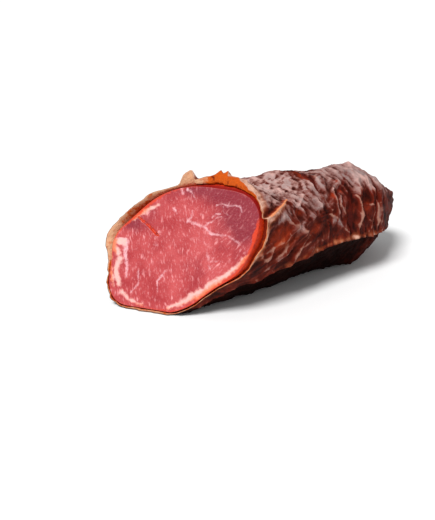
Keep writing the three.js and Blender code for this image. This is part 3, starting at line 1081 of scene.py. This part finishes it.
def add_paprika(paint, colour, wobble, fine, islands):
    """A ragged stain in from the cut's edge, and the meat's side, crimson where it is clean."""
    inward, stained = paint.mark("inward"), paint.mark("spice")
    rim = paint.total(inward, (wobble, 1.1), (fine, 0.3), (islands, 0.8), (stained, -1.7))
    stain = paint.math("MINIMUM", paint.times(paint.ramp(rim, 0.2, -0.8), stained), 0.95)
    colour = paint.mix(stain, colour, PAPRIKA)
    side = paint.mix(paint.ramp(wobble, -0.3, 0.5), PAPRIKA, PAPRIKA_DEEP)
    clean = paint.mix(paint.ramp(inward, -2.2, -4.5), CRIMSON, side)
    side = paint.mix(paint.ramp(stained, 0.2, 0.6), clean, side)
    return paint.mix(paint.ramp(inward, 0.0, -0.4), colour, side)


def add_crack(paint, colour, wobble, fine):
    """Paprika has run into the crack, and its bottom is crimson."""
    crack = paint.total(paint.mark("crack"), (wobble, 1.2), (fine, 0.5))
    colour = paint.mix(paint.ramp(crack, -0.6, 0.1, 0.0, 0.95), colour, PAPRIKA)
    return paint.mix(paint.ramp(crack, 0.15, 0.6), colour, CRIMSON)


def meat_paint():
    """The meat: moist, and lit a little from within."""
    paint = Paint("meat_body", 0.4)
    place = paint.place()
    wobble = paint.noise(place, 2.2 * MM, 3.0)
    cloudy = paint.noise(place, 11 * MM)
    islands = paint.noise(place, 4.5 * MM)
    fine = paint.noise(place, 0.8 * MM)
    grains = [paint.mark(name, "Vector") for name in ("left_grain", "right_grain")]
    flecks = paint.mix(paint.mark("right_share"), *(fleck_strokes(paint, grain) for grain in grains))
    flecks = paint.times(flecks, paint.ramp(cloudy, -0.5, 0.4, 0.55, 1.1))

    colour = lean_colour(paint, cloudy, fine, flecks)
    colour = add_marbling(paint, colour, wobble, fine, islands)
    colour = add_paprika(paint, colour, wobble, fine, islands)
    colour = add_crack(paint, colour, wobble, fine)

    paint.bump(paint.total((flecks, 0.3), (fine, 0.4)), 0.25 * MM)
    paint.surface("Subsurface Weight", 0.12)
    paint.surface("Subsurface Radius", (1.0, 0.3, 0.2))
    paint.surface("Subsurface Scale", 1.5 * MM)
    return paint.finish(colour, paint.ramp(fine, -0.5, 0.5, 0.36, 0.55))


SKIN = tone(106, 30, 16)
# painted shade in the hollows, and deep patches by chance
SKIN_DEEP_AND_SHADE = tone(38, 5, 2)
GROOVE_SHADE = tone(84, 18, 10)
CLEAR_RED = tone(158, 50, 22)
# painted highlight on the wrinkles' crests
CREST_HIGHLIGHT_PINK = tone(184, 136, 118)
BLOOM_THIN = tone(130, 72, 62)
BLOOM_PALE = tone(214, 174, 166)
BLOOM_GREY = tone(138, 108, 104)
BLOOM_COOL = tone(152, 140, 139)
DRY_AND_HIGHLIGHT_TAN = tone(212, 166, 146)
DRY_AND_HIGHLIGHT_BROWN = tone(146, 72, 42)
DRY_ORANGE = tone(226, 142, 98)
# painted shade: the near black of the shade under the loin
SHADE_BLACK = tone(14, 4, 3)
# pale tan of the inside, partly painted light that comes through the casing
INNER_TAN_AND_LIGHT = tone(216, 164, 128)
INNER_ORANGE = tone(196, 84, 22)
# deep red-brown: brown spots, and painted shade in the gap between casing and meat
INNER_BROWN_AND_SHADE = tone(104, 26, 10)


def bare_skin(paint, crest, strokes, broad, middle, fine):
    """Dried skin: darker in its hollows as painted shade, in deep patches by chance too, and red where
    it is clear.
    """
    bare = paint.total((crest, 0.8), (strokes, 0.5), (broad, 0.6))
    colour = paint.mix(paint.ramp(bare, -0.5, 0.7), SKIN_DEEP_AND_SHADE, SKIN)
    glow = paint.total(paint.mark("glow"), (middle, 0.5))
    colour = paint.mix(paint.ramp(glow, 0.1, 1.1, 0.0, 0.85), colour, CLEAR_RED)
    # painted shade: the lowest hollows of the relief are painted deep red-brown
    groove_shade = paint.total(crest, (fine, 0.2))
    return paint.mix(paint.ramp(groove_shade, -0.2, -0.6, 0.0, 0.8), colour, GROOVE_SHADE)


def bloom(paint, crest, strokes, broad, middle, fine):
    """How much of the skin the bloom covers, and its colour: thin, thick, and cool in strokes; the
    thick bloom is paler on the crests and greyer in the hollows, as painted light and shade.
    """
    skin_noise = (middle, 0.4), (fine, 0.3), (broad, 0.3)
    amount = paint.total(paint.mark("mould"), *skin_noise, (strokes, 0.75), (crest, 0.55))
    # paler on the crests and greyer in the hollows: painted light and shade
    pale = paint.total(paint.mark("pale"), (middle, 0.5), (crest, 0.5))
    thick = paint.mix(paint.ramp(pale, -0.1, 1.1), BLOOM_GREY, BLOOM_PALE)
    cool = paint.total((strokes, 0.6), (broad, 0.8))
    thick = paint.mix(paint.ramp(cool, -0.2, 0.6, 0.0, 0.75), thick, BLOOM_COOL)
    colour = paint.mix(paint.ramp(amount, 0.4, 1.4), BLOOM_THIN, thick)
    return paint.ramp(amount, 0.3, 1.1, 0.0, 0.88), colour


def add_crest_highlights(paint, colour, covered, crest, strokes, fine):
    """Painted highlights: pink along the sharpest wrinkles, where the bloom doesn't cover them."""
    lines = paint.total(crest, (fine, 0.25), (strokes, 0.2))
    open_share = paint.ramp(covered, 0.3, 0.8, 1.0, 0.1)
    share = paint.times(paint.ramp(lines, 0.5, 1.05, 0.0, 0.7), open_share)
    return paint.mix(share, colour, CREST_HIGHLIGHT_PINK)


def add_dry_edges_and_highlights(paint, colour, strokes, middle):
    """Tan where the skin stands off the meat, brown where that fades, orange at the tear, and tan and
    brown as painted highlights along the near side's fold.
    """
    tan = paint.total(paint.mark("tan"), (middle, 0.3), (strokes, 0.35))
    dry = paint.mix(paint.ramp(tan, 0.4, 1.05), DRY_AND_HIGHLIGHT_BROWN, DRY_AND_HIGHLIGHT_TAN)
    dry = paint.mix(paint.ramp(paint.mark("glow"), 0.4, 0.9), dry, DRY_ORANGE)
    return paint.mix(paint.ramp(tan, 0.05, 0.8), colour, dry)


def add_inside(paint, colour, middle):
    """The casing's inner side: tan, partly as painted light coming through the casing; or orange with
    paprika; or deep red-brown, as brown spots and as painted shade in the gap between casing and meat.
    """
    warmth_and_shade = paint.total(paint.mark("warmth_and_shade"), (middle, 0.9))
    inner = paint.mix(paint.ramp(warmth_and_shade, 0.2, 0.8), INNER_TAN_AND_LIGHT, INNER_ORANGE)
    inner = paint.mix(paint.ramp(paint.add(warmth_and_shade, middle), 1.3, 2.2), inner, INNER_BROWN_AND_SHADE)
    return paint.mix(paint.mark("inside"), colour, inner)


def casing_paint():
    """The casing: matt where the bloom lies, and slightly glossy where it doesn't."""
    paint = Paint("casing_skin", 0.03)
    place = paint.place()
    crest, strokes = paint.mark("crest"), paint.mark("strokes")
    broad = paint.noise(place, 9 * MM)
    middle = paint.noise(place, 3.0 * MM, 3.0, 0.6)
    fine = paint.noise(place, 0.9 * MM, 3.0, 0.6)

    colour = bare_skin(paint, crest, strokes, broad, middle, fine)
    covered, bloom_colour = bloom(paint, crest, strokes, broad, middle, fine)
    colour = paint.mix(covered, colour, bloom_colour)
    colour = add_crest_highlights(paint, colour, covered, crest, strokes, fine)
    colour = add_dry_edges_and_highlights(paint, colour, strokes, middle)
    # painted shade: the underside is painted nearly black, for the shade under the loin
    painted_shade = paint.total(paint.mark("painted_shade"), (middle, 0.25))
    colour = paint.mix(paint.ramp(painted_shade, 0.2, 0.8, 0.0, 0.95), colour, SHADE_BLACK)
    colour = add_inside(paint, colour, middle)

    paint.bump(paint.total((middle, 0.5), (fine, 0.5)), 0.45 * MM)
    gloss = paint.ramp(covered, 0.1, 0.7, 0.09, 0.01)
    gloss = paint.times(gloss, paint.ramp(painted_shade, 0.2, 0.6, 1.0, 0.0))
    paint.surface("Coat Weight", gloss)
    paint.surface("Coat Roughness", 0.28)
    return paint.finish(colour, paint.ramp(fine, -0.4, 0.4, 0.65, 0.85))


# ---- the scene
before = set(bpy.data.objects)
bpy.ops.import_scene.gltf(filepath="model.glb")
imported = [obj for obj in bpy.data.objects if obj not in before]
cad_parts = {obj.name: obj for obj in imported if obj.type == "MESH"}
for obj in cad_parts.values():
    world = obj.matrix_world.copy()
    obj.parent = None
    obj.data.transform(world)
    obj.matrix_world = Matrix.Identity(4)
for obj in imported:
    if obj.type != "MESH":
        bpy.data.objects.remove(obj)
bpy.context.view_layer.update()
bpy.context.scene.view_settings.view_transform = "Standard"

casing = make_casing()
casing.data.materials.append(casing_paint())
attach(casing, "root")
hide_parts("casing")

meat = make_meat()
meat.data.materials.append(meat_paint())
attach(meat, "root")
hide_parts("meat")

make_stage()
make_light()
make_camera()
